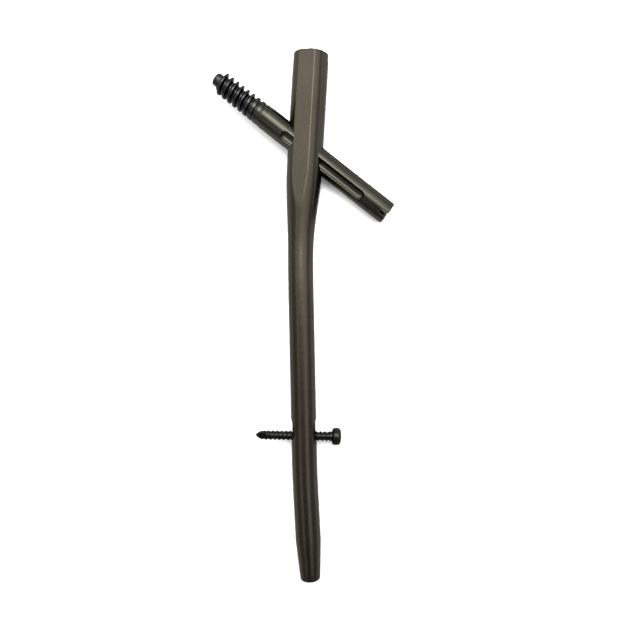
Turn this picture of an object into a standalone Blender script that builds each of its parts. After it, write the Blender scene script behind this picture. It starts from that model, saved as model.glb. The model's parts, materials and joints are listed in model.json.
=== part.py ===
"""Short proximal femoral nail with its lag screw, set screw and distal locking screw.

Metres, +Z up. Every piece is made in the nail's own frame: the nail's axis and the lag screw's
axis cross at its origin, +X is lateral, +Y is proximal and +Z is anterior. At the end the whole
implant lies on a table, with the bottom centre of its box at the world's origin.
"""

import math

import bmesh
import bpy
from mathutils import Matrix, Vector

# Nail: lengths are measured along its axis, from the proximal end
NAIL_LENGTH = 0.2309
PROXIMAL_DIAMETER = 0.0155
SHAFT_DIAMETER = 0.0111
ACROSS_FLATS = 0.0137
TAPER_START = 0.0493
TAPER_LENGTH = 0.0379
TIP_LENGTH = 0.0176
TIP_DIAMETER = 0.0089
TIP_EDGE_RADIUS = 0.0014
END_EDGE_RADIUS = 0.0006
CANNULATION_DIAMETER = 0.0044
SOCKET_DIAMETER = 0.0088
SOCKET_END_ABOVE_LAG = 0.0076
SOCKET_CHAMFER = 0.0005
LAG_DEPTH = 0.0414
HANDLE_NOTCH_WIDTH = 0.0045
HANDLE_NOTCH_DEPTH = 0.003

# The nail's two bends, both in the plane that it shares with the lag screw
PROXIMAL_LEAN_DEG = -3.4
PROXIMAL_STRAIGHT = 0.0657
PROXIMAL_BEND_LENGTH = 0.034
PROXIMAL_BEND_DEG = 4.62
MIDDLE_STRAIGHT = 0.074
DISTAL_BEND_LENGTH = 0.0214
DISTAL_BEND_DEG = 1.89

# The two flats face front and back, turned about the nail's axis towards the medial side
FLATS_TURN_DEG = 19.2

# Distal slot
SLOT_MIDDLE = 0.1646
SLOT_LENGTH = 0.0104

# Lag screw: places along it are measured from its lateral end
LAG_DIAMETER = 0.0104
LAG_LENGTH = 0.0952
LAG_LATERAL_REACH = 0.0456
LAG_BELOW_X_DEG = 37.6
LAG_ROLL_DEG = -24.0
LAG_CLEARANCE = 0.0002
LAG_CANNULATION_DIAMETER = 0.0032
LAG_SOCKET_DIAMETER = 0.0062
LAG_SOCKET_DEPTH = 0.0092
LAG_END_CHAMFER = 0.0004
LAG_CORE_DIAMETER = 0.007
LAG_THREAD_DIAMETER = 0.0101
LAG_THREAD_SPACING = 0.00282
LAG_THREAD_COUNT = 1
LAG_THREAD_LENGTH = 0.0245
LAG_RUN_OUT_LENGTH = 0.0108
LAG_THREAD_TURN_STEPS = 7
LAG_FRONT_CHAMFER = 0.0006
NUB_DIAMETER = 0.006
NUB_LENGTH = 0.0031
NUB_DOME_HEIGHT = 0.0012
GROOVE_START = 0.0128
GROOVE_LENGTH = 0.0447
GROOVE_WIDTH = 0.004
GROOVE_DEPTH = 0.0013
DRIVER_NOTCH_WIDTH = 0.0023
DRIVER_NOTCH_DEPTH = 0.0034

# Set screw: it fills the socket above the lag screw, with its pin just clear of that screw
SET_SCREW_CLEARANCE = 0.0003
SET_SCREW_LENGTH = 0.012
SET_SCREW_CONE_LENGTH = 0.0012
SET_PIN_DIAMETER = 0.0018
SET_PIN_TIP_DIAMETER = 0.0006
SET_PIN_LENGTH = 0.0045
SET_PIN_GAP = 0.0007
SET_SCREW_CHAMFER = 0.0005
SET_HEX_WIDTH = 0.004
SET_HEX_DEPTH = 0.005

# Distal locking screw
LOCKING_DIAMETER = 0.0043
LOCKING_CORE_DIAMETER = 0.0035
LOCKING_PITCH = 0.0019
LOCKING_LENGTH = 0.0373
LOCKING_MEDIAL_REACH = 0.0211
LOCKING_CLEARANCE = 0.0003
LOCKING_END_GAP = 0.00025
LOCKING_SKEW_DEG = -1.8
LOCKING_HEAD_DIAMETER = 0.0077
LOCKING_HEAD_LENGTH = 0.0039
LOCKING_HEAD_ROUNDING = 0.0011
LOCKING_NECK_LENGTH = 0.0007
LOCKING_POINT_LENGTH = 0.0048
LOCKING_RUN_OUT_LENGTH = 0.0012
LOCKING_HEX_WIDTH = 0.0035
LOCKING_HEX_DEPTH = 0.0024
FLUTE_LENGTH = 0.0072
FLUTE_DEPTH = 0.0013

# One overrun serves every cut that runs out of a face
CUT_OVERRUN = 0.002

# Facets around each kind of round form, and rings along the curved ones
NAIL_SIDES = 40
BORE_SIDES = 40
LAG_SIDES = 24
LOCKING_SIDES = 10
SET_SCREW_SIDES = 20
TAPER_RINGS = 8
BEND_RINGS = 3
EDGE_RINGS = 3
SLOT_ARC_STEPS = 6
REST_ROUNDS = 4
SMOOTH_ANGLE_DEG = 32.0

# Cross-section of each thread's groove: (share of the pitch from the groove's middle, share of
# the thread's depth above its floor). The first is the lag screw's, with rounded shoulders.
LAG_GROOVE_SHARES = ((-0.43, 1.1), (-0.37, 0.35), (-0.3, 0.0), (0.3, 0.0), (0.37, 0.35), (0.43, 1.1))
LOCKING_GROOVE_SHARES = ((-0.46, 1.1), (-0.24, 0.0), (0.24, 0.0), (0.46, 1.1))

# Cross-section of the lag screw's round-bottomed grooves: (share of half the width, share of the depth)
ROUND_GROOVE_SHARES = ((0.25, 1.0), (0.62, 0.72), (0.88, 0.32), (1.0, 0.0))

# The locking screw's blunt point: (share of its length, share of the thread's radius)
POINT_SHARES = ((0.0, 0.27), (0.2, 0.56), (0.5, 0.75), (1.0, 1.0))

TITANIUM_DARK = (0.115, 0.105, 0.085, 1.0)
TITANIUM_SCREW = (0.135, 0.125, 0.105, 1.0)

LAG_RADIUS = LAG_DIAMETER / 2
LOCKING_RADIUS = LOCKING_DIAMETER / 2
BORE_RADIUS = LAG_RADIUS + LAG_CLEARANCE
SOCKET_DEPTH = LAG_DEPTH - SOCKET_END_ABOVE_LAG
SLOT_RADIUS = LOCKING_RADIUS + LOCKING_CLEARANCE


def clear_scene():
    for obj in list(bpy.data.objects):
        bpy.data.objects.remove(obj, do_unlink=True)


def metal(name, colour, roughness):
    material = bpy.data.materials.new(name)
    material.use_nodes = True
    shader = material.node_tree.nodes["Principled BSDF"]
    shader.inputs["Base Color"].default_value = colour
    shader.inputs["Metallic"].default_value = 1.0
    shader.inputs["Roughness"].default_value = roughness
    return material


def add_object(name, bm, material=None):
    """Turns a bmesh into an object whose faces point out and whose round sides are smooth."""
    bmesh.ops.recalc_face_normals(bm, faces=bm.faces)
    mesh = bpy.data.meshes.new(name)
    bm.to_mesh(mesh)
    bm.free()
    mesh.shade_smooth()
    mesh.set_sharp_from_angle(angle=math.radians(SMOOTH_ANGLE_DEG))
    obj = bpy.data.objects.new(name, mesh)
    bpy.context.scene.collection.objects.link(obj)
    if material:
        mesh.materials.append(material)
    return obj


def cut(target, cutter, operation="DIFFERENCE"):
    """Adds a Boolean to the target, and hides the cutter that it uses."""
    modifier = target.modifiers.new(cutter.name, "BOOLEAN")
    modifier.operation = operation
    modifier.solver = "EXACT"
    modifier.object = cutter
    cutter.hide_render = True
    cutter.display_type = "WIRE"


def ring(bm, place, radius, sides):
    """A circle of points around the Z axis of the frame that place gives."""
    turns = (2 * math.pi * i / sides for i in range(sides))
    return [bm.verts.new(place @ Vector((radius * math.cos(a), radius * math.sin(a), 0))) for a in turns]


def bridge(bm, lower, upper):
    for i in range(len(lower)):
        j = (i + 1) % len(lower)
        bm.faces.new((lower[i], lower[j], upper[j], upper[i]))


def solid_from_rings(rings_at, closed_tube=False, sides=BORE_SIDES):
    """A solid through a list of (frame, radius) circles, with flat ends or closed on itself as a tube."""
    bm = bmesh.new()
    rings = [ring(bm, place, radius, sides) for place, radius in rings_at]
    for lower, upper in zip(rings, rings[1:]):
        bridge(bm, lower, upper)
    if closed_tube:
        bridge(bm, rings[-1], rings[0])
    else:
        bm.faces.new(rings[0])
        bm.faces.new(rings[-1])
    return bm


def turned(profile, closed_tube=False, sides=BORE_SIDES):
    """A solid of revolution about Z through a list of (height, radius) points."""
    return solid_from_rings([(Matrix.Translation((0, 0, z)), r) for z, r in profile], closed_tube, sides)


def box(size, middle):
    bm = bmesh.new()
    bmesh.ops.create_cube(bm, size=1, matrix=Matrix.Translation(middle) @ Matrix.Diagonal((*size, 1)))
    return bm


def hexagon_cutter(width, depth, outward):
    """A hexagonal prism across flats, cut downward from height zero along -Z or +Z."""
    sides = 6
    radius = width / math.cos(math.pi / sides) / 2
    return turned([(-depth * outward, radius), (CUT_OVERRUN * outward, radius)], sides=sides)


def arc(middle, radius, start_deg, end_deg, steps=EDGE_RINGS):
    """Points (height, radius) of an arc around a middle point, angles counted from the radial side."""
    angles = [math.radians(start_deg + (end_deg - start_deg) * i / steps) for i in range(steps + 1)]
    return [(middle[0] + radius * math.sin(a), middle[1] + radius * math.cos(a)) for a in angles]


def smooth_share(share):
    return share * share * (3 - 2 * share)


def nail_radius(depth):
    """Outer radius at a depth along the axis: proximal part, S-shaped taper, then shaft."""
    share = min(max((depth - TAPER_START) / TAPER_LENGTH, 0), 1)
    return (PROXIMAL_DIAMETER + (SHAFT_DIAMETER - PROXIMAL_DIAMETER) * smooth_share(share)) / 2


def nail_stretches():
    """The axis as (length, turn) stretches: straight, bend, straight, bend, straight."""
    done = PROXIMAL_STRAIGHT + PROXIMAL_BEND_LENGTH + MIDDLE_STRAIGHT + DISTAL_BEND_LENGTH
    return (
        (PROXIMAL_STRAIGHT, 0),
        (PROXIMAL_BEND_LENGTH, math.radians(PROXIMAL_BEND_DEG)),
        (MIDDLE_STRAIGHT, 0),
        (DISTAL_BEND_LENGTH, math.radians(DISTAL_BEND_DEG)),
        (NAIL_LENGTH - done, 0),
    )


def walk_nail(depth):
    """Place and heading of the axis at a depth, starting from the end face at zero."""
    x, y = 0, 0
    heading = math.radians(PROXIMAL_LEAN_DEG)
    left = depth
    for length, turn in nail_stretches():
        step = min(left, length)
        swing = turn * step / length
        chord = step * (math.sin(swing / 2) / (swing / 2) if swing else 1)
        x += chord * math.sin(heading + swing / 2)
        y -= chord * math.cos(heading + swing / 2)
        heading += swing
        left -= step
    return x, y, heading


def nail_frame(depth):
    """Frame on the nail's axis: its Z points distally, its Y to the front of the nail."""
    x0, y0, _ = walk_nail(LAG_DEPTH)
    x, y, heading = walk_nail(depth)
    distal = Vector((math.sin(heading), -math.cos(heading), 0))
    front = Vector((0, 0, 1))
    side = front.cross(distal)
    rotation = Matrix((side, front, distal)).transposed().to_4x4()
    return Matrix.Translation((x - x0, y - y0, 0)) @ rotation


def steps_between(start, end, count):
    return [start + (end - start) * i / count for i in range(count + 1)]


def nail_outline():
    """(depth, radius) points down the outside of the nail, from its end face to its tip face."""
    outer = PROXIMAL_DIAMETER / 2
    tip = TIP_DIAMETER / 2
    cone_start = NAIL_LENGTH - TIP_LENGTH
    bend_start = PROXIMAL_STRAIGHT + PROXIMAL_BEND_LENGTH + MIDDLE_STRAIGHT
    slope = (SHAFT_DIAMETER / 2 - tip) / (TIP_LENGTH - TIP_EDGE_RADIUS)
    lean_deg = math.degrees(math.atan(slope))
    points = arc((END_EDGE_RADIUS, outer - END_EDGE_RADIUS), END_EDGE_RADIUS, -90, 0)
    taper = steps_between(TAPER_START, TAPER_START + TAPER_LENGTH, TAPER_RINGS)
    points += [(d, nail_radius(d)) for d in taper]
    points += [(PROXIMAL_STRAIGHT + PROXIMAL_BEND_LENGTH, SHAFT_DIAMETER / 2)]
    bend = steps_between(bend_start, bend_start + DISTAL_BEND_LENGTH, BEND_RINGS)
    points += [(d, SHAFT_DIAMETER / 2) for d in bend]
    points += [(cone_start, SHAFT_DIAMETER / 2)]
    points += arc((NAIL_LENGTH - TIP_EDGE_RADIUS, tip - TIP_EDGE_RADIUS), TIP_EDGE_RADIUS, lean_deg, 90)
    return points


def nail_bore():
    """(depth, radius) points up the inside of the nail, from its tip face to its end face."""
    bore = CANNULATION_DIAMETER / 2
    socket = SOCKET_DIAMETER / 2
    bend_end = PROXIMAL_STRAIGHT + PROXIMAL_BEND_LENGTH
    distal_bend = bend_end + MIDDLE_STRAIGHT
    depths = [NAIL_LENGTH]
    depths += steps_between(distal_bend + DISTAL_BEND_LENGTH, distal_bend, BEND_RINGS)
    depths += steps_between(bend_end, PROXIMAL_STRAIGHT, BEND_RINGS)
    depths += [SOCKET_DEPTH + socket - bore]
    points = [(d, bore) for d in depths]
    points += [(SOCKET_DEPTH, socket), (SOCKET_CHAMFER, socket), (0, socket + SOCKET_CHAMFER)]
    return points


def lag_frame():
    """Frame on the lag screw's axis at the crossing: its Z points medially, towards the tip."""
    below_x = math.radians(LAG_BELOW_X_DEG)
    medial = Vector((-math.cos(below_x), math.sin(below_x), 0))
    front = Vector((0, 0, 1))
    side = front.cross(medial)
    return Matrix((side, front, medial)).transposed().to_4x4()


def locking_frame():
    """Frame on the locking screw's axis where it crosses the nail: its Z points to the head."""
    depth = SLOT_MIDDLE + SLOT_LENGTH / 2 - SLOT_RADIUS - LOCKING_END_GAP
    skew = math.radians(LOCKING_SKEW_DEG)
    lateral = Vector((math.cos(skew), math.sin(skew), 0))
    front = Vector((0, 0, 1))
    side = front.cross(lateral)
    rotation = Matrix((side, front, lateral)).transposed().to_4x4()
    return Matrix.Translation(nail_frame(depth).translation) @ rotation


def stadium(bm, half_straight, radius, height, lay):
    """A slot outline: two half circles joined by straight sides, at a height over the slot's plane."""
    points = []
    for end in (1, -1):
        for i in range(SLOT_ARC_STEPS + 1):
            angle = math.pi * (i / SLOT_ARC_STEPS - 1 / 2)
            along = end * (half_straight + radius * math.cos(angle))
            points.append(lay @ Vector((along, end * radius * math.sin(angle), height)))
    return [bm.verts.new(point) for point in points]


def add_slot(bm, half_straight, levels, lay):
    """A solid through slot outlines: levels are (height, radius), and lay places the slot's plane."""
    outlines = [stadium(bm, half_straight, radius, height, lay) for height, radius in levels]
    for lower, upper in zip(outlines, outlines[1:]):
        bridge(bm, lower, upper)
    bm.faces.new(outlines[0])
    bm.faces.new(outlines[-1])


def thread_cutter(shares, spacing, starts, crest, floor_radius_at, start, end, sides, turn_steps=0):
    """Helical ribbons, one for each start, that cut a right-hand thread's grooves.

    shares is a groove's cross-section, spacing the distance between crests, crest the thread's
    outer radius, and floor_radius_at(height) the radius of the groove's floor, which rises where
    the thread runs out. Heights go from start to end. The ribbons start that many facets round,
    and each of their sections stands midway between two edges of the screw's facets.
    """
    bm = bmesh.new()
    lead = spacing * starts
    count = math.ceil((end - start) / lead * sides)
    for turn in range(starts):
        outlines = []
        for i in range(count + 1):
            height = start + lead * i / sides
            angle = 2 * math.pi * ((i + turn_steps + 1 / 2) / sides + turn / starts)
            floor = floor_radius_at(height)
            depth = max(crest - floor, 0)
            outer = max(crest, floor) + CUT_OVERRUN / 2
            section = [(share * spacing, floor + rise * depth) for share, rise in shares]
            section = [(section[0][0], outer), *section, (section[-1][0], outer)]
            spots = [(r * math.cos(angle), r * math.sin(angle), height + z) for z, r in section]
            outlines.append([bm.verts.new(spot) for spot in spots])
        for lower, upper in zip(outlines, outlines[1:]):
            bridge(bm, lower, upper)
        bm.faces.new(outlines[0])
        bm.faces.new(outlines[-1])
    return bm


def flats_cutter():
    """Two blocks, in front and behind, that leave the proximal part's flats between them."""
    thickness = PROXIMAL_DIAMETER - ACROSS_FLATS
    end = TAPER_START + TAPER_LENGTH / 2
    size = (PROXIMAL_DIAMETER + CUT_OVERRUN, thickness, end + CUT_OVERRUN)
    bm = bmesh.new()
    for side in (1, -1):
        middle = Vector((0, side * (ACROSS_FLATS + thickness) / 2, (end - CUT_OVERRUN) / 2))
        bmesh.ops.create_cube(bm, size=1, matrix=Matrix.Translation(middle) @ Matrix.Diagonal((*size, 1)))
    return bm


def make_nail(material):
    stations = nail_outline() + nail_bore()
    nail = add_object(
        "nail_body",
        solid_from_rings([(nail_frame(d), r) for d, r in stations], closed_tube=True, sides=NAIL_SIDES),
        material,
    )
    flats = add_object("flats_cutter", flats_cutter())
    flats.matrix_world = nail_frame(0) @ Matrix.Rotation(math.radians(FLATS_TURN_DEG), 4, "Z")
    cut(nail, flats)

    bore_end = PROXIMAL_DIAMETER
    bore = add_object("lag_bore_cutter", turned([(-bore_end, BORE_RADIUS), (bore_end, BORE_RADIUS)]))
    bore.matrix_world = lag_frame()
    cut(nail, bore)

    inner = SOCKET_DIAMETER / 2
    outer = PROXIMAL_DIAMETER / 2 + CUT_OVERRUN
    notch_size = (outer - inner, HANDLE_NOTCH_WIDTH, HANDLE_NOTCH_DEPTH + CUT_OVERRUN)
    notch_middle = ((outer + inner) / 2, 0, (HANDLE_NOTCH_DEPTH - CUT_OVERRUN) / 2)
    notch = add_object("handle_notch_cutter", box(notch_size, notch_middle))
    notch.matrix_world = nail_frame(0)
    cut(nail, notch)

    half_through = SHAFT_DIAMETER / 2 + CUT_OVERRUN
    lay = nail_frame(SLOT_MIDDLE) @ Matrix.Rotation(math.pi / 2, 4, "Y")
    levels = [(-half_through, SLOT_RADIUS), (half_through, SLOT_RADIUS)]
    slot = bmesh.new()
    add_slot(slot, SLOT_LENGTH / 2 - SLOT_RADIUS, levels, lay)
    slot = add_object("distal_slot_cutter", slot)
    cut(nail, slot)
    return nail


def lag_floor_radius(height):
    """Radius of the lag thread's floor: its core, rising to the shank over the run-out."""
    thread_start = LAG_LENGTH - LAG_LATERAL_REACH - NUB_LENGTH - LAG_THREAD_LENGTH
    core = LAG_CORE_DIAMETER / 2
    rise = (LAG_RADIUS - core) / LAG_RUN_OUT_LENGTH
    return max(core, LAG_RADIUS - (height - thread_start) * rise)


def make_lag_screw(material):
    """The lag screw, with its origin where its axis crosses the nail's."""
    end = -LAG_LATERAL_REACH
    tip = end + LAG_LENGTH
    front = tip - NUB_LENGTH
    thread_start = front - LAG_THREAD_LENGTH
    crest = LAG_THREAD_DIAMETER / 2
    bore = LAG_CANNULATION_DIAMETER / 2
    socket = LAG_SOCKET_DIAMETER / 2
    nub = NUB_DIAMETER / 2
    profile = [
        (end, LAG_RADIUS - LAG_END_CHAMFER),
        (end + LAG_END_CHAMFER, LAG_RADIUS),
        (thread_start, LAG_RADIUS),
        (thread_start + LAG_RADIUS - crest, crest),
        (front - LAG_FRONT_CHAMFER, crest),
        (front, LAG_CORE_DIAMETER / 2),
        (front, nub),
        (tip - NUB_DOME_HEIGHT, nub),
    ]
    for step in range(1, EDGE_RINGS):
        angle = math.pi / 2 * step / EDGE_RINGS
        profile.append((tip - NUB_DOME_HEIGHT * (1 - math.sin(angle)), bore + (nub - bore) * math.cos(angle)))
    profile += [
        (tip, bore),
        (end + LAG_SOCKET_DEPTH + socket - bore, bore),
        (end + LAG_SOCKET_DEPTH, socket),
        (end, socket),
    ]
    lag = add_object("lag_screw", turned(profile, closed_tube=True, sides=LAG_SIDES), material)

    thread = thread_cutter(
        LAG_GROOVE_SHARES,
        LAG_THREAD_SPACING,
        LAG_THREAD_COUNT,
        crest,
        lag_floor_radius,
        thread_start - LAG_THREAD_SPACING,
        front + LAG_THREAD_SPACING,
        LAG_SIDES,
        LAG_THREAD_TURN_STEPS,
    )
    thread = add_object("lag_thread_cutter", thread)
    cut(lag, thread)

    half_straight = (GROOVE_LENGTH - GROOVE_WIDTH) / 2
    middle = end + GROOVE_START + GROOVE_LENGTH / 2
    half_width = GROOVE_WIDTH / 2
    levels = [(LAG_RADIUS - GROOVE_DEPTH * depth, half_width * width) for width, depth in ROUND_GROOVE_SHARES]
    levels.append((LAG_RADIUS + CUT_OVERRUN, half_width))
    grooves = bmesh.new()
    for quarter in range(4):
        turn = Matrix.Rotation(quarter * math.pi / 2, 4, "Z")
        lay = turn @ Matrix.Translation((0, 0, middle)) @ Matrix.Rotation(math.pi / 2, 4, "Y")
        add_slot(grooves, half_straight, levels, lay)
    grooves = add_object("lag_groove_cutter", grooves)
    cut(lag, grooves)

    notch_size = (DRIVER_NOTCH_WIDTH, LAG_DIAMETER + CUT_OVERRUN, DRIVER_NOTCH_DEPTH + CUT_OVERRUN)
    notch = box(notch_size, (0, 0, end + (DRIVER_NOTCH_DEPTH - CUT_OVERRUN) / 2))
    notch = add_object("driver_notch_cutter", notch)
    cut(lag, notch)

    place = lag_frame() @ Matrix.Rotation(math.radians(LAG_ROLL_DEG), 4, "Z")
    for obj in (lag, thread, grooves, notch):
        obj.matrix_world = place
    return lag


def set_screw_top_depth():
    """Depth of the set screw's top face that leaves its pin's end just above the lag screw."""
    between = math.radians(90 - LAG_BELOW_X_DEG - PROXIMAL_LEAN_DEG)
    lag_top = LAG_DEPTH - LAG_RADIUS / math.sin(between)
    return lag_top - SET_PIN_GAP - SET_PIN_LENGTH - SET_SCREW_LENGTH


def make_set_screw(material):
    """The set screw, with its origin on the nail's axis at its own top face."""
    body = SOCKET_DIAMETER / 2 - SET_SCREW_CLEARANCE
    pin = SET_PIN_DIAMETER / 2
    body_end = SET_SCREW_LENGTH
    pin_end = body_end + SET_PIN_LENGTH
    profile = [
        (0, body - SET_SCREW_CHAMFER),
        (SET_SCREW_CHAMFER, body),
        (body_end - SET_SCREW_CONE_LENGTH, body),
        (body_end, pin * 2),
        (body_end, pin),
        (pin_end - pin, pin),
        (pin_end, SET_PIN_TIP_DIAMETER / 2),
    ]
    screw = add_object("set_screw", turned(profile, sides=SET_SCREW_SIDES), material)
    hexagon = add_object("set_hex_cutter", hexagon_cutter(SET_HEX_WIDTH, SET_HEX_DEPTH, -1))
    cut(screw, hexagon)
    place = nail_frame(set_screw_top_depth())
    screw.matrix_world = place
    hexagon.matrix_world = place
    return screw


def locking_floor_radius(height):
    """Radius of the locking thread's floor: its core, rising under the head."""
    run_out = LOCKING_LENGTH - LOCKING_MEDIAL_REACH - LOCKING_HEAD_LENGTH - LOCKING_NECK_LENGTH
    rise = (LOCKING_DIAMETER - LOCKING_CORE_DIAMETER) / LOCKING_RUN_OUT_LENGTH
    return max(LOCKING_CORE_DIAMETER / 2, LOCKING_RADIUS + (height - run_out) * rise)


def make_locking_screw(material):
    """The locking screw, with its origin where its axis crosses the nail's."""
    tip = -LOCKING_MEDIAL_REACH
    end = tip + LOCKING_LENGTH
    head_start = end - LOCKING_HEAD_LENGTH
    head = LOCKING_HEAD_DIAMETER / 2
    rounding = LOCKING_HEAD_ROUNDING
    profile = [(tip + LOCKING_POINT_LENGTH * along, LOCKING_RADIUS * out) for along, out in POINT_SHARES]
    profile += [
        (head_start, LOCKING_RADIUS),
        (head_start, head - rounding / 2),
        (head_start + rounding / 2, head),
    ]
    profile += arc((end - rounding, head - rounding), rounding, 0, 90)
    screw = add_object("locking_screw", turned(profile, sides=LOCKING_SIDES), material)
    thread = thread_cutter(
        LOCKING_GROOVE_SHARES,
        LOCKING_PITCH,
        1,
        LOCKING_RADIUS,
        locking_floor_radius,
        tip - LOCKING_PITCH / 2,
        head_start - LOCKING_NECK_LENGTH,
        LOCKING_SIDES,
    )
    thread = add_object("locking_thread_cutter", thread)
    cut(screw, thread)
    hexagon = add_object("locking_hex_cutter", hexagon_cutter(LOCKING_HEX_WIDTH, LOCKING_HEX_DEPTH, 1))
    cut(screw, hexagon)
    flute_size = (LOCKING_DIAMETER, LOCKING_DIAMETER, FLUTE_LENGTH + CUT_OVERRUN)
    flute_middle = (
        LOCKING_RADIUS + LOCKING_RADIUS - FLUTE_DEPTH,
        LOCKING_RADIUS,
        tip + (FLUTE_LENGTH - CUT_OVERRUN) / 2,
    )
    flute = add_object("flute_cutter", box(flute_size, flute_middle))
    cut(screw, flute)
    place = locking_frame()
    screw.matrix_world = place
    thread.matrix_world = place
    flute.matrix_world = place
    hexagon.matrix_world = place @ Matrix.Translation((0, 0, end))
    return screw


def rest_rotation():
    """The implant stands on three places: the medial edge of its back flat where the taper starts,
    its slimmer distal shaft, so it tips a little, and the lag screw's lateral end, down to which
    it rolls."""
    outer = PROXIMAL_DIAMETER / 2
    edge_turn = math.acos(ACROSS_FLATS / PROXIMAL_DIAMETER) - math.radians(FLATS_TURN_DEG)
    rise = outer * math.cos(edge_turn) - LAG_RADIUS
    below_x = math.radians(LAG_BELOW_X_DEG)
    reach = outer * math.sin(edge_turn) + LAG_LATERAL_REACH * math.cos(below_x)
    end_depth = LAG_DEPTH + LAG_LATERAL_REACH * math.sin(below_x)
    roll = 0
    for _ in range(REST_ROUNDS):
        height = outer * math.cos(edge_turn + roll)
        pitch = math.asin((height - SHAFT_DIAMETER / 2) / (NAIL_LENGTH - TIP_LENGTH - TAPER_START))
        drop = (end_depth - TAPER_START) * math.sin(pitch)
        roll = math.acos(drop / math.hypot(rise, reach)) - math.atan2(reach, rise)
    return Matrix.Rotation(roll, 4, "Y") @ Matrix.Rotation(pitch, 4, "X")


def lay_on_table(pieces):
    """Parents everything to one empty, then sets that so the pieces stand on z = 0 about the origin."""
    implant = bpy.data.objects.new("implant", None)
    bpy.context.scene.collection.objects.link(implant)
    for obj in bpy.context.scene.objects:
        if obj is not implant:
            obj.parent = implant
    implant.matrix_world = rest_rotation()
    bpy.context.view_layer.update()
    graph = bpy.context.evaluated_depsgraph_get()
    corners = []
    for piece in pieces:
        solid = piece.evaluated_get(graph)
        corners += [solid.matrix_world @ vertex.co for vertex in solid.data.vertices]
    low = Vector([min(corner[axis] for corner in corners) for axis in range(3)])
    high = Vector([max(corner[axis] for corner in corners) for axis in range(3)])
    middle = (low + high) / 2
    implant.matrix_world = Matrix.Translation((-middle.x, -middle.y, -low.z)) @ rest_rotation()
    bpy.context.view_layer.update()


def main():
    clear_scene()
    nail_metal = metal("anodised_titanium", TITANIUM_DARK, 0.42)
    screw_metal = metal("polished_anodised_titanium", TITANIUM_SCREW, 0.3)
    pieces = (
        make_nail(nail_metal),
        make_lag_screw(screw_metal),
        make_set_screw(screw_metal),
        make_locking_screw(screw_metal),
    )
    lay_on_table(pieces)


main()
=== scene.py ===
import json
import math

import bmesh
import bpy
import numpy as np
from mathutils import Matrix, Vector


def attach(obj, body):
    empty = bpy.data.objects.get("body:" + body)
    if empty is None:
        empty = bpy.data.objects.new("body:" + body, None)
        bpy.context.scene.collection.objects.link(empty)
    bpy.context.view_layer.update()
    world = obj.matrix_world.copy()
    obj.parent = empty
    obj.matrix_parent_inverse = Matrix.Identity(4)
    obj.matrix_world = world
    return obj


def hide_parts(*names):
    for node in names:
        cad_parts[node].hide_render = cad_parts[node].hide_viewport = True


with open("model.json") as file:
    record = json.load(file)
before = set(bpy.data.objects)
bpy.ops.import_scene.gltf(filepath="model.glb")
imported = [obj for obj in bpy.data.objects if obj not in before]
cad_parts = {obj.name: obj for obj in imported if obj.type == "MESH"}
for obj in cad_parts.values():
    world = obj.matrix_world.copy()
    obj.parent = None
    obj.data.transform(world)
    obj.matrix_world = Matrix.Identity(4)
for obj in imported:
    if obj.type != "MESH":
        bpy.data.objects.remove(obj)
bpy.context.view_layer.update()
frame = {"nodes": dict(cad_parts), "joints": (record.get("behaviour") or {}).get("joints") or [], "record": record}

# Sizes in metres. They are the solids' own, apart from the form of the threads' ridges, the depth of
# the lag screw's grooves, and the locking screw's head and point. Depths run down the nail's axis.
NAIL_LENGTH = 0.2309
PROXIMAL_RADIUS = 0.00775
SHAFT_RADIUS = 0.00555
FLAT_HEIGHT = 0.00685
FLATS_TURN = math.radians(19.2)
FLAT_EDGE_BLEND = 0.00016
TAPER_START = 0.0493
TAPER_LENGTH = 0.0379
# The share of the taper where the flats run out, which has closer rings
TAPER_FINE_SHARE = 0.6
TIP_LENGTH = 0.0176
TIP_RADIUS = 0.00445
TIP_EDGE_RADIUS = 0.0014
END_EDGE_RADIUS = 0.0006
CANNULATION_RADIUS = 0.0022
SOCKET_RADIUS = 0.0044
SOCKET_DEPTH = 0.0338
SOCKET_CHAMFER = 0.0005
LAG_DEPTH = 0.0414
HANDLE_NOTCH_WIDTH = 0.0045
HANDLE_NOTCH_DEPTH = 0.003
PROXIMAL_LEAN = math.radians(-3.4)
# The nail's axis: the length of each stretch and how far it bends
NAIL_STRETCHES = (
    (0.0657, 0.0),
    (0.034, math.radians(4.62)),
    (0.074, 0.0),
    (0.0214, math.radians(1.89)),
    (0.0358, 0.0),
)
SLOT_MIDDLE = 0.1646
SLOT_LENGTH = 0.0104
SLOT_RADIUS = 0.00245

LAG_RADIUS = 0.0052
LAG_LENGTH = 0.0952
LAG_LATERAL_REACH = 0.0456
LAG_ROLL = math.radians(-24.0)
LAG_BORE_RADIUS = 0.0054
LAG_CANNULATION_RADIUS = 0.0016
LAG_SOCKET_RADIUS = 0.0031
LAG_SOCKET_DEPTH = 0.0092
LAG_END_CHAMFER = 0.0004
LAG_CORE_RADIUS = 0.0035
LAG_CREST_RADIUS = 0.00505
LAG_THREAD_SPACING = 0.00282
LAG_THREAD_LENGTH = 0.0245
LAG_RUN_OUT_LENGTH = 0.0108
LAG_THREAD_PHASE = math.radians(205.0)
LAG_FRONT_CHAMFER = 0.0006
# Half widths of the thread's ridge at its foot and top, and the blend where it meets the outline
LAG_RIDGE_FOOT = 0.0012
LAG_RIDGE_TOP = 0.00028
LAG_THREAD_EDGE_BLEND = 0.00008
NUB_RADIUS = 0.003
NUB_LENGTH = 0.0031
NUB_DOME_HEIGHT = 0.0012
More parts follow.
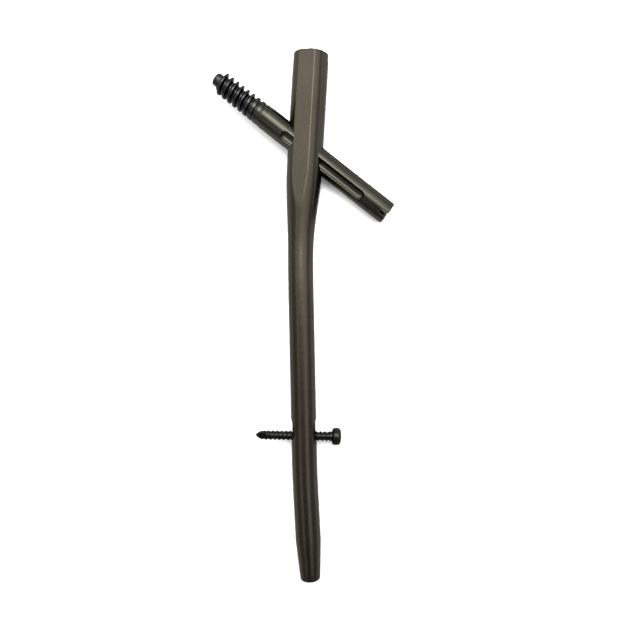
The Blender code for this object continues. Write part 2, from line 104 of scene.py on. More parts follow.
# The dome's finer mesh would reach past the solids' box, so it is set back by a hair
NUB_SET_BACK = 0.00004
LAG_FRONT = LAG_LENGTH - NUB_LENGTH
LAG_THREAD_START = LAG_FRONT - LAG_THREAD_LENGTH
LAG_DOME_START = LAG_LENGTH - NUB_SET_BACK - NUB_DOME_HEIGHT
GROOVE_COUNT = 4
GROOVE_START = 0.0128
GROOVE_LENGTH = 0.0447
GROOVE_WIDTH = 0.004
GROOVE_DEPTH = 0.0015
GROOVE_ROUND_RADIUS = 0.00225
GROOVE_EDGE_BLEND = 0.00006
# A groove's radius at an angle depends on itself, and settles in this many rounds
GROOVE_ROUNDS = 4
DRIVER_NOTCH_WIDTH = 0.0023
DRIVER_NOTCH_DEPTH = 0.0034

LOCKING_RADIUS = 0.00215
LOCKING_CORE_RADIUS = 0.00175
LOCKING_PITCH = 0.0019
LOCKING_LENGTH = 0.0373
LOCKING_MEDIAL_REACH = 0.0211
LOCKING_END_GAP = 0.00025
LOCKING_SKEW = math.radians(-1.8)
LOCKING_HEAD_RADIUS = 0.00385
LOCKING_HEAD_LENGTH = 0.0039
LOCKING_HEAD_START = LOCKING_LENGTH - LOCKING_HEAD_LENGTH
LOCKING_HEAD_ROUNDING = 0.0015
LOCKING_UNDERSIDE_ROUNDING = 0.0013
LOCKING_NECK_LENGTH = 0.0007
LOCKING_POINT_LENGTH = 0.0048
# The point's outline: shares of its length and of the screw's radius
POINT_SHARES = ((0.0, 0.2), (0.12, 0.42), (0.45, 0.84), (1.0, 1.0))
LOCKING_TIP_CUT = 0.000048
LOCKING_RUN_OUT_LENGTH = 0.0006
LOCKING_THREAD_PHASE = math.radians(18.0)
# The thread's ridge as a share of its pitch, and how square it is
LOCKING_RIDGE_SHARE = 0.5
LOCKING_RIDGE_POWER = 1.5
LOCKING_HEX_WIDTH = 0.0035
LOCKING_HEX_DEPTH = 0.0024
HEX_SIDES = 6
FLUTE_LENGTH = 0.0072
FLUTE_DEPTH = 0.0013
FLUTE_TURN = math.pi * 0.6
# The flute reaches round to where the cosine of the angle from its middle falls to this
FLUTE_LEAST_COSINE = 0.05

# Points around each piece, and the distance between rings in the plain, curved and threaded stretches
NAIL_SIDES = 320
LAG_SIDES = 200
LOCKING_SIDES = 144
BORE_SIDES = 96
SLOT_END_POINTS = 25
COARSE_STEP = 0.003
TAPER_STEP = 0.0005
THREAD_STEP = 0.000075
SCREW_STEP = 0.0001
EDGE_STEPS = 6
# How far a cutter reaches past what it cuts
CUT_OVERRUN = 0.002
SHARP_ANGLE = math.radians(30)
# Keeps a divisor from being zero
LEAST_SINE = 1e-6

# The camera looks straight down at the table, from a place measured from the nail's end face
CAMERA_FROM_END = Vector((0.0038, -0.116065, 0.2991))
CAMERA_LENS = 38.503
CAMERA_SENSOR = 36

# Level softboxes over the table: name, x range, y range and radiance. They leave the middle of the
# ceiling dark over the near side of the table.
SOFTBOX_HEIGHT = 0.8
SOFTBOXES = (
    ("right_strip", (0.24, 0.7), (-0.6, -0.06), 1.8),
    ("left_strip", (-0.78, -0.4), (-0.7, 0.06), 1.4),
    ("right_softbox", (0.14, 0.62), (-0.06, 0.8), 2.1),
    ("right_outer_softbox", (0.64, 1.25), (-0.06, 0.8), 2.2),
    ("near_fill", (-0.3, 0.05), (-0.2, 0.05), 0.5),
    ("far_softbox", (-0.38, 0.12), (0.06, 0.8), 2.9),
    ("left_softbox", (-0.9, -0.4), (0.08, 0.8), 2.5),
)
# The window is a bright pane a little lower than the softboxes, so that they don't hide it
WINDOW = ("window", (-0.1, 0.22), (0.12, 0.5), 8.0)
WINDOW_HEIGHT = 0.76
# One factor for the softboxes, the window and the room
LIGHT_LEVEL = 1.5
# How bright the room is at the zenith, what the horizon adds to that and what the far side adds, and
# the spans of the direction's Z and Y over which they change
ROOM_ZENITH = 0.15
ROOM_HORIZON = 0.4
ROOM_FAR = 0.85
HORIZON_SPAN = (0.0, 0.95)
FAR_SPAN = (-0.1, 0.4)

FLOOR_SIZE = 6
FLOOR_COLOUR = (0.92, 0.92, 0.92, 1)
FLOOR_ROUGHNESS = 0.9

# Anodised titanium: two tints that drift into each other, the colour of worn edges, the range of
# roughness, and the strength, scale and height of the grain
NAIL_FINISH = {
    "dark": (0.0232, 0.0195, 0.0136, 1),
    "light": (0.0286, 0.0242, 0.0174, 1),
    "wear": (0.063, 0.0575, 0.0505, 1),
    "roughness": (0.26, 0.34),
    "grain": 0.25,
    "grain_scale": 2600.0,
    "grain_height": 0.00001,
}
LAG_FINISH = {
    "dark": (0.0227, 0.0217, 0.0166, 1),
    "light": (0.028, 0.0267, 0.0206, 1),
    "wear": (0.0607, 0.0572, 0.0503, 1),
    "roughness": (0.25, 0.31),
    "grain": 0.1,
    "grain_scale": 3400.0,
    "grain_height": 0.000003,
}
LOCKING_FINISH = {
    **LAG_FINISH,
    "dark": (0.0125, 0.0119, 0.0091, 1),
    "light": (0.0154, 0.0147, 0.0113, 1),
    "wear": (0.043, 0.04, 0.035, 1),
    "roughness": (0.23, 0.29),
}
# The lag screw's thread is bluer than its shank: where that fades in, measured from the thread's start
BLUE_FADE = (-0.001, 0.011)
BLUE_TINT = (0.0196, 0.0202, 0.0214, 1)
TINT_DRIFT_SCALE = 45.0
# Most of a noise's values lie in this span
NOISE_SPAN = (0.3, 0.7)
# Pointiness of an edge that starts to wear and of one that is fully worn, and the most wear there is
WORN_POINTINESS = (0.53, 0.62)
MOST_WEAR = 0.55
GRAZING_TINT = (0.55, 0.55, 0.55, 1)
BUMP_STRENGTH = 0.6


def mount_place(name):
    """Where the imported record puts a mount."""
    return Vector(next(m["pos_m"] for m in frame["record"]["mounts"] if m["name"] == name))


def joint_axis(name):
    """The direction of a packed joint's axis."""
    return Vector(next(j["axis"] for j in frame["joints"] if j["name"] == name)).normalized()


def axes_matrix(side, front, along):
    """A rotation whose X, Y and Z axes are the three vectors."""
    return Matrix((side, front, along)).transposed()


def implant_place():
    """Where the nail's own frame lies in the world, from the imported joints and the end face's mount."""
    proximal = joint_axis("set_screw_travel")
    front = joint_axis("lag_slide").cross(proximal).normalized()
    local_proximal = Vector((-math.sin(PROXIMAL_LEAN), math.cos(PROXIMAL_LEAN), 0))
    local_front = Vector((0, 0, 1))
    world_axes = axes_matrix(proximal.cross(front), front, proximal)
    local_axes = axes_matrix(local_proximal.cross(local_front), local_front, local_proximal)
    rotation = (world_axes @ local_axes.transposed()).to_4x4()
    seat_radius = (SOCKET_RADIUS + SOCKET_CHAMFER + PROXIMAL_RADIUS - END_EDGE_RADIUS) / 2
    local_seat = nail_frame(0) @ Vector((-seat_radius, 0, 0))
    return Matrix.Translation(mount_place("handle_seat") - rotation @ local_seat) @ rotation


def walk_nail(depth):
    """Place and heading of the nail's axis at a depth, starting from the end face at zero."""
    x, y, heading, left = 0, 0, PROXIMAL_LEAN, depth
    for length, turn in NAIL_STRETCHES:
        step = min(left, length)
        swing = turn * step / length
        chord = step * (math.sin(swing / 2) / (swing / 2) if swing else 1)
        x += chord * math.sin(heading + swing / 2)
        y -= chord * math.cos(heading + swing / 2)
        heading += swing
        left -= step
    return x, y, heading


def nail_frame(depth):
    """Frame on the nail's axis: its Z points distally, its Y to the front of the nail."""
    x0, y0, _ = walk_nail(LAG_DEPTH)
    x, y, heading = walk_nail(depth)
    distal = Vector((math.sin(heading), -math.cos(heading), 0))
    front = Vector((0, 0, 1))
    rotation = axes_matrix(front.cross(distal), front, distal).to_4x4()
    return Matrix.Translation((x - x0, y - y0, 0)) @ rotation


def lag_frame(place):
    """Frame on the lag screw's axis at the crossing: its Z points medially, towards the tip."""
    lateral = (place.to_3x3().transposed() @ joint_axis("lag_slide")).normalized()
    front = Vector((0, 0, 1))
    medial = Vector((-lateral.x, -lateral.y, 0)).normalized()
    return axes_matrix(front.cross(medial), front, medial).to_4x4() @ Matrix.Rotation(LAG_ROLL, 4, "Z")


def lag_place(place):
    """Where the lag screw's own frame lies in the world: its origin is its lateral end."""
    return place @ lag_frame(place) @ Matrix.Translation((0, 0, -LAG_LATERAL_REACH))


def locking_frame():
    """Frame on the locking screw's axis where it crosses the nail: its Z points to the head."""
    depth = SLOT_MIDDLE + SLOT_LENGTH / 2 - SLOT_RADIUS - LOCKING_END_GAP
    lateral = Vector((math.cos(LOCKING_SKEW), math.sin(LOCKING_SKEW), 0))
    front = Vector((0, 0, 1))
    rotation = axes_matrix(front.cross(lateral), front, lateral).to_4x4()
    return Matrix.Translation(nail_frame(depth).translation) @ rotation


def stretch(start, end, step):
    """Depths from start to end, evenly spaced by about one step."""
    return np.linspace(start, end, max(2, math.ceil(abs(end - start) / step) + 1))


def joined(*stretches):
    """All the depths in order, without repeats."""
    return np.unique(np.round(np.concatenate(stretches), 9))


def soft_min(a, b, blend):
    """The lesser of two radii, rounded where they cross."""
    near = np.maximum(blend - np.abs(a - b), 0)
    return np.minimum(a, b) - near * near / (4 * blend)


def arc_points(middle, radius, start_deg, end_deg, steps=EDGE_STEPS):
    """Points (height, radius) of an arc, angles counted from the radial side."""
    angles = np.radians(np.linspace(start_deg, end_deg, steps + 1))
    return [(middle[0] + radius * math.sin(a), middle[1] + radius * math.cos(a)) for a in angles]


def mesh_from_rows(name, rows, closed_tube=False):
    """An object from rows of points, each row a closed loop.

    The first and last rows get a flat end, or meet each other where the surface is a closed tube.
    """
    count, sides = len(rows), len(rows[0])
    verts = np.concatenate(rows)
    faces = []
    around = np.arange(sides)
    following = (around + 1) % sides
    pairs = [(i, i + 1) for i in range(count - 1)]
    if closed_tube:
        pairs.append((count - 1, 0))
    for lower, upper in pairs:
        a, b = lower * sides, upper * sides
        faces.append(np.stack([a + around, a + following, b + following, b + around], axis=1))
    faces = np.concatenate(faces).tolist()
    if not closed_tube:
        faces.append(list(range(sides)))
        faces.append([(count - 1) * sides + i for i in range(sides)])
    mesh = bpy.data.meshes.new(name)
    mesh.from_pydata(verts.tolist(), [], faces)
    bm = bmesh.new()
    bm.from_mesh(mesh)
    bmesh.ops.recalc_face_normals(bm, faces=bm.faces)
    bm.to_mesh(mesh)
    bm.free()
    obj = bpy.data.objects.new(name, mesh)
    bpy.context.scene.collection.objects.link(obj)
    return obj


def ring_row(height, radii, angles):
    """A loop of points around Z at one height."""
    heights = np.full_like(angles, height)
    return np.stack([radii * np.cos(angles), radii * np.sin(angles), heights], axis=1)


def circle_angles(sides):
    """Evenly spaced angles, all the way round."""
    return np.arange(sides) * 2 * math.pi / sides


def turned_cutter(name, profile, sides=BORE_SIDES):
    """A cutter turned about Z from heights and radii."""
    angles = circle_angles(sides)
    return mesh_from_rows(name, [ring_row(z, np.full_like(angles, r), angles) for z, r in profile])


def box_cutter(name, size, middle):
    """A box to cut with."""
    bm = bmesh.new()
    bmesh.ops.create_cube(bm, size=1, matrix=Matrix.Translation(middle) @ Matrix.Diagonal((*size, 1)))
    mesh = bpy.data.meshes.new(name)
    bm.to_mesh(mesh)
    bm.free()
    obj = bpy.data.objects.new(name, mesh)
    bpy.context.scene.collection.objects.link(obj)
    return obj


def cut_all(target, cutters):
    """Cuts each cutter out of the target, then removes it, leaving plain mesh."""
    for cutter in cutters:
        modifier = target.modifiers.new(cutter.name, "BOOLEAN")
        modifier.operation = "DIFFERENCE"
        modifier.solver = "EXACT"
        modifier.object = cutter
    bpy.context.view_layer.update()
    graph = bpy.context.evaluated_depsgraph_get()
    mesh = bpy.data.meshes.new_from_object(target.evaluated_get(graph))
    target.modifiers.clear()
    target.data = mesh
    for cutter in cutters:
        bpy.data.objects.remove(cutter, do_unlink=True)


def finish_piece(obj, place, body, node, material):
    """Shades the piece, gives it its material, puts it in place, ties it to the CAD body and hides the CAD node
    that it stands for.
    """
    obj.data.shade_smooth()
    obj.data.set_sharp_from_angle(angle=SHARP_ANGLE)
    obj.data.transform(place)
    obj.data.materials.clear()
    obj.data.materials.append(material)
    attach(obj, body)
    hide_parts(node)


def smooth_share(share):
    """A share from 0 to 1, eased at both ends."""
    return share * share * (3 - 2 * share)


def nail_radius(depth):
    """The nail's radius down to its tip's cone, without the flats."""
    share = min(max((depth - TAPER_START) / TAPER_LENGTH, 0), 1)
    return PROXIMAL_RADIUS + (SHAFT_RADIUS - PROXIMAL_RADIUS) * smooth_share(share)


def nail_section(radius, angles):
    """A round section with a front and a back flat, and rounded edges between."""
    toward_front = np.maximum(np.abs(np.sin(angles - FLATS_TURN)), LEAST_SINE)
    return soft_min(np.full_like(angles, radius), FLAT_HEIGHT / toward_front, FLAT_EDGE_BLEND)


def stadium_cutter(name, half_straight, radius, half_height, lay):
    """A cutter for an oblong hole with round ends, laid by a matrix."""
    rows = []
    angles = np.radians(np.linspace(-90, 90, SLOT_END_POINTS))
    for height in (-half_height, half_height):
        right = [(half_straight + radius * math.cos(a), radius * math.sin(a), height) for a in angles]
        left = [(-x, -y, z) for x, y, z in right]
        rows.append(np.array([tuple(lay @ Vector(p)) for p in right + left]))
    return mesh_from_rows(name, rows)


def make_nail(place, material):
    """The nail: one closed surface outside and inside, with its bore, notch and slot cut into it."""
    angles = circle_angles(NAIL_SIDES)
    taper_fine_end = TAPER_START + TAPER_LENGTH * TAPER_FINE_SHARE
    taper_end = TAPER_START + TAPER_LENGTH
    cone_start = NAIL_LENGTH - TIP_LENGTH
    lean = math.atan((SHAFT_RADIUS - TIP_RADIUS) / (TIP_LENGTH - TIP_EDGE_RADIUS))
    outline = arc_points((END_EDGE_RADIUS, PROXIMAL_RADIUS - END_EDGE_RADIUS), END_EDGE_RADIUS, -90, 0)
    depths = joined(
        stretch(END_EDGE_RADIUS + COARSE_STEP, TAPER_START, COARSE_STEP),
        stretch(TAPER_START, taper_fine_end, TAPER_STEP),
        stretch(taper_fine_end, taper_end, COARSE_STEP / 2),
        stretch(taper_end, cone_start, COARSE_STEP),
    )
    outline += [(d, nail_radius(d)) for d in depths]
    tip_arc_middle = (NAIL_LENGTH - TIP_EDGE_RADIUS, TIP_RADIUS - TIP_EDGE_RADIUS)
    tip_arc = arc_points(tip_arc_middle, TIP_EDGE_RADIUS, math.degrees(lean), 90)
    cone_end = tip_arc[0]
    for d in stretch(cone_start, cone_end[0], COARSE_STEP)[1:-1]:
        share = (d - cone_start) / (cone_end[0] - cone_start)
        outline.append((d, SHAFT_RADIUS + (cone_end[1] - SHAFT_RADIUS) * share))
    outline += tip_arc
    bore_end = SOCKET_DEPTH + SOCKET_RADIUS - CANNULATION_RADIUS
    inside = [(d, CANNULATION_RADIUS) for d in stretch(NAIL_LENGTH, bore_end, COARSE_STEP)]
    inside += [(SOCKET_DEPTH, SOCKET_RADIUS), (SOCKET_CHAMFER, SOCKET_RADIUS)]
    inside.append((0, SOCKET_RADIUS + SOCKET_CHAMFER))
    rows = [(depth, nail_section(radius, angles)) for depth, radius in outline]
    rows += [(depth, np.full_like(angles, radius)) for depth, radius in inside]
    loops = []
    for depth, radii in rows:
        at = np.array(nail_frame(depth))
        flat_loop = ring_row(0, radii, angles)
        loops.append(flat_loop @ at[:3, :3].T + at[:3, 3])
    nail = mesh_from_rows("nail_surface", loops, closed_tube=True)

    through = PROXIMAL_RADIUS * 2
    bore = turned_cutter("bore", [(-through, LAG_BORE_RADIUS), (through, LAG_BORE_RADIUS)])
    bore.matrix_world = lag_frame(place)
    notch_middle = (PROXIMAL_RADIUS + SOCKET_RADIUS + CUT_OVERRUN) / 2
    notch_size = (
        PROXIMAL_RADIUS - SOCKET_RADIUS + CUT_OVERRUN,
        HANDLE_NOTCH_WIDTH,
        HANDLE_NOTCH_DEPTH + CUT_OVERRUN,
    )
    notch = box_cutter("notch", notch_size, (notch_middle, 0, (HANDLE_NOTCH_DEPTH - CUT_OVERRUN) / 2))
    notch.matrix_world = nail_frame(0)
    lay = nail_frame(SLOT_MIDDLE) @ Matrix.Rotation(math.pi / 2, 4, "Y")
    half_straight = SLOT_LENGTH / 2 - SLOT_RADIUS
    slot = stadium_cutter("slot", half_straight, SLOT_RADIUS, SHAFT_RADIUS + CUT_OVERRUN, lay)
    cut_all(nail, [bore, notch, slot])
    finish_piece(nail, place, "nail", "nail_body", material)


def off_crest(offset, spacing):
    """Distance to the nearest crest of a thread."""
    return np.abs(offset - spacing * np.round(offset / spacing))


def round_ridge(distance, half_width, power):
    """Height of a round-topped ridge, from 0 at its foot to 1 at its crest."""
    inward = np.clip(distance / half_width, 0, 1)
    return np.sqrt(np.maximum(1 - inward ** power, 0))


def thin_ridge(distance, foot, top):
    """Height of a thin ridge with a rounded crest and a fillet at its foot."""
    return smooth_share(np.clip((foot - distance) / (foot - top), 0, 1))


def lag_blank(z):
    """Outer radius of the lag screw before its thread and grooves are cut; z runs from its lateral end."""
    step = LAG_RADIUS - LAG_CREST_RADIUS
    outline = (
        (0, LAG_RADIUS - LAG_END_CHAMFER),
        (LAG_END_CHAMFER, LAG_RADIUS),
        (LAG_THREAD_START, LAG_RADIUS),
        (LAG_THREAD_START + step, LAG_CREST_RADIUS),
        (LAG_FRONT - LAG_FRONT_CHAMFER, LAG_CREST_RADIUS),
        (LAG_FRONT, LAG_CORE_RADIUS),
    )
    if z <= LAG_FRONT:
        return float(np.interp(z, *zip(*outline)))
    if z <= LAG_DOME_START:
        return NUB_RADIUS
    share = min((z - LAG_DOME_START) / NUB_DOME_HEIGHT, 1)
    rim = LAG_CANNULATION_RADIUS
    return rim + (NUB_RADIUS - rim) * math.sqrt(1 - share * share)


def lag_floor(z):
    """Radius of the lag thread's floor: its core, rising to the shank over the run-out."""
    rise = (LAG_RADIUS - LAG_CORE_RADIUS) / LAG_RUN_OUT_LENGTH
    return max(LAG_CORE_RADIUS, LAG_RADIUS - (z - LAG_THREAD_START) * rise)


def groove_radii(z, angles):
    """Radii that the round-bottomed grooves leave all around one place along the shank."""
    middle = GROOVE_START + GROOVE_LENGTH / 2
    beyond = max(abs(z - middle) - (GROOVE_LENGTH - GROOVE_WIDTH) / 2, 0)
    radii = np.full_like(angles, LAG_RADIUS * 2)
    lift = GROOVE_ROUND_RADIUS - GROOVE_DEPTH
    for groove in range(GROOVE_COUNT):
        swing = np.angle(np.exp(1j * (angles - groove * 2 * math.pi / GROOVE_COUNT)))
        facing = np.abs(swing) < math.pi / GROOVE_COUNT
        cosine = np.where(facing, np.cos(swing), 1)
        radius = np.full_like(angles, LAG_RADIUS)
        for _ in range(GROOVE_ROUNDS):
            off = np.hypot(radius * np.sin(swing), beyond)
            depth = np.sqrt(np.maximum(GROOVE_ROUND_RADIUS ** 2 - off * off, 0)) - lift
            radius = (LAG_RADIUS - depth) / cosine
        inside = facing & (off < GROOVE_WIDTH / 2)
        radii = np.where(inside, np.minimum(radii, radius), radii)
    return radii


def lag_radii(z, angles):
    """Outer radii of the finished lag screw all around one place along it."""
    blank = np.full_like(angles, lag_blank(z))
    if LAG_THREAD_START - LAG_THREAD_SPACING < z < LAG_FRONT + LAG_THREAD_SPACING / 4:
        start = LAG_THREAD_START - LAG_THREAD_SPACING / 2
        crest = start + LAG_THREAD_SPACING * (angles - LAG_THREAD_PHASE) / (2 * math.pi)
        rise = thin_ridge(off_crest(z - crest, LAG_THREAD_SPACING), LAG_RIDGE_FOOT, LAG_RIDGE_TOP)
        thread = lag_floor(z) + (LAG_CREST_RADIUS - LAG_CORE_RADIUS) * rise
        blank = soft_min(blank, thread, LAG_THREAD_EDGE_BLEND)
    if GROOVE_START - GROOVE_WIDTH < z < GROOVE_START + GROOVE_LENGTH + GROOVE_WIDTH:
        blank = soft_min(blank, groove_radii(z, angles), GROOVE_EDGE_BLEND)
    return blank


def make_lag_screw(place, material):
    """The lag screw: thread, grooves, nub and bore as one closed surface, with the driver's notches cut."""
    angles = circle_angles(LAG_SIDES)
    groove_end = GROOVE_START + GROOVE_LENGTH
    half = GROOVE_WIDTH / 2
    depths = joined(
        np.array([0, LAG_END_CHAMFER]),
        stretch(LAG_END_CHAMFER, GROOVE_START, COARSE_STEP),
        stretch(GROOVE_START, GROOVE_START + half, THREAD_STEP),
        stretch(GROOVE_START + half, groove_end - half, COARSE_STEP),
        stretch(groove_end - half, groove_end, THREAD_STEP),
        stretch(groove_end, LAG_THREAD_START, COARSE_STEP),
        stretch(LAG_THREAD_START, LAG_FRONT, THREAD_STEP),
    )
    plain = [(LAG_FRONT, NUB_RADIUS), (LAG_DOME_START, NUB_RADIUS)]
    for step in range(1, EDGE_STEPS + 1):
        z = LAG_DOME_START + NUB_DOME_HEIGHT * math.sin(step / EDGE_STEPS * math.pi / 2)
        plain.append((z, lag_blank(z)))
    cone = LAG_SOCKET_RADIUS - LAG_CANNULATION_RADIUS
    plain.append((LAG_SOCKET_DEPTH + cone, LAG_CANNULATION_RADIUS))
    plain += [(LAG_SOCKET_DEPTH, LAG_SOCKET_RADIUS), (0, LAG_SOCKET_RADIUS)]
    rows = [ring_row(z, lag_radii(z, angles), angles) for z in depths]
    rows += [ring_row(z, np.full_like(angles, radius), angles) for z, radius in plain]
    lag = mesh_from_rows("lag_screw_surface", rows, closed_tube=True)
    notch_size = (DRIVER_NOTCH_WIDTH, LAG_RADIUS * 2 + CUT_OVERRUN, DRIVER_NOTCH_DEPTH + CUT_OVERRUN)
    notch = box_cutter("notch", notch_size, (0, 0, (DRIVER_NOTCH_DEPTH - CUT_OVERRUN) / 2))
    cut_all(lag, [notch])
    finish_piece(lag, lag_place(place), "lag", "lag_screw", material)


def locking_radii(z, angles):
    """Outer radii of the locking screw all around one place; z runs from its tip to its head's face."""
    blank = np.interp(z / LOCKING_POINT_LENGTH, *zip(*POINT_SHARES)) * LOCKING_RADIUS
    thread_end = LOCKING_HEAD_START - LOCKING_NECK_LENGTH
    rise = (LOCKING_RADIUS - LOCKING_CORE_RADIUS) / LOCKING_RUN_OUT_LENGTH
    floor = max(LOCKING_CORE_RADIUS, LOCKING_RADIUS + (z - thread_end) * rise)
    crest = LOCKING_PITCH * (angles - LOCKING_THREAD_PHASE) / (2 * math.pi)
    distance = off_crest(z - crest, LOCKING_PITCH)
    height = round_ridge(distance, LOCKING_RIDGE_SHARE * LOCKING_PITCH / 2, LOCKING_RIDGE_POWER)
    thread = floor + max(LOCKING_RADIUS - floor, 0) * height
    radii = np.minimum(np.full_like(angles, blank), thread)
    if z < FLUTE_LENGTH:
        plane = LOCKING_RADIUS - FLUTE_DEPTH + FLUTE_DEPTH * (z / FLUTE_LENGTH) ** 2
        cosine = np.cos(angles - FLUTE_TURN)
        cut = plane / np.maximum(cosine, FLUTE_LEAST_COSINE)
        radii = np.where(cosine > FLUTE_LEAST_COSINE, np.minimum(radii, cut), radii)
    return radii


def make_locking_screw(place, material):
    """The locking screw: point, flute, thread and round head in one surface, with its hexagon cut."""
    angles = circle_angles(LOCKING_SIDES)
    depths = stretch(LOCKING_TIP_CUT, LOCKING_HEAD_START, SCREW_STEP)
    below = LOCKING_UNDERSIDE_ROUNDING
    above = LOCKING_HEAD_ROUNDING
    head = arc_points((LOCKING_HEAD_START + below, LOCKING_HEAD_RADIUS - below), below, -90, 0)
    head += arc_points((LOCKING_LENGTH - above, LOCKING_HEAD_RADIUS - above), above, 0, 90)
    rows = [ring_row(z, locking_radii(z, angles), angles) for z in depths]
    rows += [ring_row(z, np.full_like(angles, radius), angles) for z, radius in head]
    screw = mesh_from_rows("locking_screw_surface", rows)
    radius = LOCKING_HEX_WIDTH / math.cos(math.pi / HEX_SIDES) / 2
    hexagon = turned_cutter("hexagon", [(-LOCKING_HEX_DEPTH, radius), (CUT_OVERRUN, radius)], HEX_SIDES)
    hexagon.matrix_world = Matrix.Translation((0, 0, LOCKING_LENGTH))
    cut_all(screw, [hexagon])
    shift = Matrix.Translation((0, 0, -LOCKING_MEDIAL_REACH))
    at = place @ locking_frame() @ shift
    finish_piece(screw, at, "locking", "locking_screw", material)


class Nodes:
    """Short calls to add and join the nodes of one tree."""

    def __init__(self, tree):
        self.tree = tree

    def put(self, value, socket):
        """Sets a socket to a value, or links another node's output to it."""
        if isinstance(value, bpy.types.NodeSocket):
            self.tree.links.new(value, socket)
        else:
            socket.default_value = value

    def add(self, kind, inputs=(), **settings):
        """A new node with its inputs and settings."""
        node = self.tree.nodes.new(kind)
        for key, value in settings.items():
            setattr(node, key, value)
        for socket, value in dict(inputs).items():
            self.put(value, node.inputs[socket])
        return node

    def noise(self, coordinates, scale, detail=3.0, roughness=0.55):
        inputs = {"Vector": coordinates, "Scale": scale, "Detail": detail, "Roughness": roughness}
        return self.add("ShaderNodeTexNoise", inputs).outputs["Fac"]

    def between(self, value, low, high, span=NOISE_SPAN):
        """Takes a value from its span to the range from low to high."""
        inputs = {"Value": value, "From Min": span[0], "From Max": span[1], "To Min": low, "To Max": high}
        return self.add("ShaderNodeMapRange", inputs).outputs["Result"]

    def maths(self, operation, first, second):
        return self.add("ShaderNodeMath", {0: first, 1: second}, operation=operation).outputs[0]

    def mix(self, factor, first, second):
        node = self.add("ShaderNodeMix", data_type="RGBA")
        for name, value in (("Factor", factor), ("A", first), ("B", second)):
            self.put(value, next(s for s in node.inputs if s.name == name and s.enabled))
        return next(s for s in node.outputs if s.enabled)


def new_material(name):
    """A material, its shader and the helper for its nodes."""
    material = bpy.data.materials.new(name)
    material.use_nodes = True
    return material, material.node_tree.nodes["Principled BSDF"], Nodes(material.node_tree)


def titanium(name, dark, light, wear, roughness, grain, grain_scale, grain_height, fade=None):
    """Anodised titanium: tint drifting over the surface, a fine grain and lighter worn edges.

    A fade turns the tint into another colour along an axis, between two distances on it.
    """
    material, shader, n = new_material(name)
    spot = n.add("ShaderNodeTexCoord").outputs["Object"]
    drift = n.noise(spot, TINT_DRIFT_SCALE, detail=2.0)
    fine = n.noise(spot, grain_scale, detail=2.0, roughness=0.6)
    tint = n.mix(n.between(drift, 0.0, 1.0), dark, light)
    if fade:
        axis, span, colour = fade
        along = n.add("ShaderNodeVectorMath", {0: spot, 1: axis}, operation="DOT_PRODUCT").outputs["Value"]
        tint = n.mix(n.between(along, 0.0, 1.0, span), tint, colour)
    speckle = n.mix(n.between(fine, 0.0, grain), tint, wear)
    pointed = n.add("ShaderNodeNewGeometry").outputs["Pointiness"]
    edge = n.between(pointed, 0.0, MOST_WEAR, WORN_POINTINESS)
    n.put(n.mix(edge, speckle, wear), shader.inputs["Base Color"])
    n.put(n.between(n.noise(spot, grain_scale / 3), *roughness), shader.inputs["Roughness"])
    shader.inputs["Metallic"].default_value = 1.0
    shader.inputs["Specular Tint"].default_value = GRAZING_TINT
    bump = n.add("ShaderNodeBump", {"Height": fine, "Distance": grain_height, "Strength": BUMP_STRENGTH})
    n.put(bump.outputs["Normal"], shader.inputs["Normal"])
    return material


def thread_fade(place):
    """The lag thread's bluer tint, as a fade along the screw's axis in the world."""
    at = lag_place(place)
    axis = at.to_3x3().col[2]
    span = [axis.dot(at @ Vector((0, 0, LAG_THREAD_START + z))) for z in BLUE_FADE]
    return axis, span, BLUE_TINT


def make_floor():
    """The pale table that the implant lies on."""
    bpy.ops.mesh.primitive_plane_add(size=FLOOR_SIZE)
    floor = bpy.context.object
    floor.name = "table"
    material, shader, _ = new_material("table_white")
    shader.inputs["Base Color"].default_value = FLOOR_COLOUR
    shader.inputs["Roughness"].default_value = FLOOR_ROUGHNESS
    floor.data.materials.append(material)


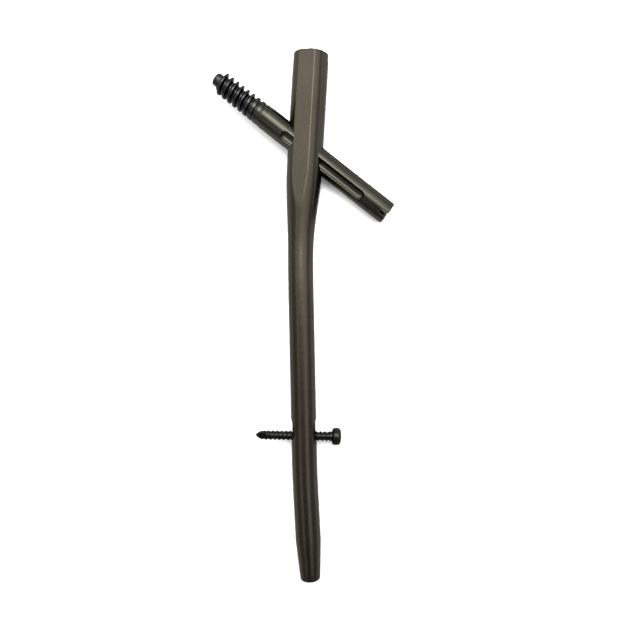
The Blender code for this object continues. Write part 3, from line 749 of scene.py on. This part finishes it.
def add_softbox(name, across, along, radiance, height=SOFTBOX_HEIGHT):
    """A level rectangle of light above the table, as bright all over as its radiance says."""
    light = bpy.data.lights.new(name, "AREA")
    light.shape = "RECTANGLE"
    light.size = across[1] - across[0]
    light.size_y = along[1] - along[0]
    light.energy = LIGHT_LEVEL * radiance * light.size * light.size_y * math.pi
    obj = bpy.data.objects.new(name, light)
    bpy.context.scene.collection.objects.link(obj)
    obj.location = (sum(across) / 2, sum(along) / 2, height)


def make_room():
    """A soft grey room, brighter towards the horizon and the far side."""
    world = bpy.data.worlds.new("studio")
    bpy.context.scene.world = world
    world.use_nodes = True
    n = Nodes(world.node_tree)
    direction = n.add("ShaderNodeTexCoord").outputs["Generated"]
    toward = n.add("ShaderNodeSeparateXYZ", {"Vector": direction}).outputs
    low = n.between(toward["Z"], ROOM_ZENITH + ROOM_HORIZON, ROOM_ZENITH, HORIZON_SPAN)
    far = n.between(toward["Y"], 0.0, ROOM_FAR, FAR_SPAN)
    glow = n.maths("MULTIPLY", n.maths("ADD", low, far), LIGHT_LEVEL)
    background = world.node_tree.nodes["Background"]
    background.inputs["Color"].default_value = (1, 1, 1, 1)
    n.put(glow, background.inputs["Strength"])


def make_lights():
    """The room, the softboxes and the window."""
    make_room()
    for name, across, along, radiance in SOFTBOXES:
        add_softbox(name, across, along, radiance)
    add_softbox(*WINDOW, height=WINDOW_HEIGHT)


def make_camera(place):
    """The camera of the photograph, straight above the table."""
    camera = bpy.data.cameras.new("camera")
    camera.lens = CAMERA_LENS
    camera.sensor_width = CAMERA_SENSOR
    obj = bpy.data.objects.new("camera", camera)
    bpy.context.scene.collection.objects.link(obj)
    obj.location = (place @ nail_frame(0)).translation + CAMERA_FROM_END
    bpy.context.scene.camera = obj


def finish_set_screw(material):
    """The set screw keeps its CAD node, and gets a material."""
    slots = frame["nodes"]["set_screw"].data.materials
    slots.clear()
    slots.append(material)


def main():
    place = implant_place()
    make_nail(place, titanium("blasted_titanium", **NAIL_FINISH))
    make_lag_screw(place, titanium("lag_titanium", fade=thread_fade(place), **LAG_FINISH))
    make_locking_screw(place, titanium("dark_titanium", **LOCKING_FINISH))
    finish_set_screw(titanium("polished_titanium", **LAG_FINISH))
    make_floor()
    make_lights()
    make_camera(place)
    bpy.context.scene.view_settings.view_transform = "Standard"


main()
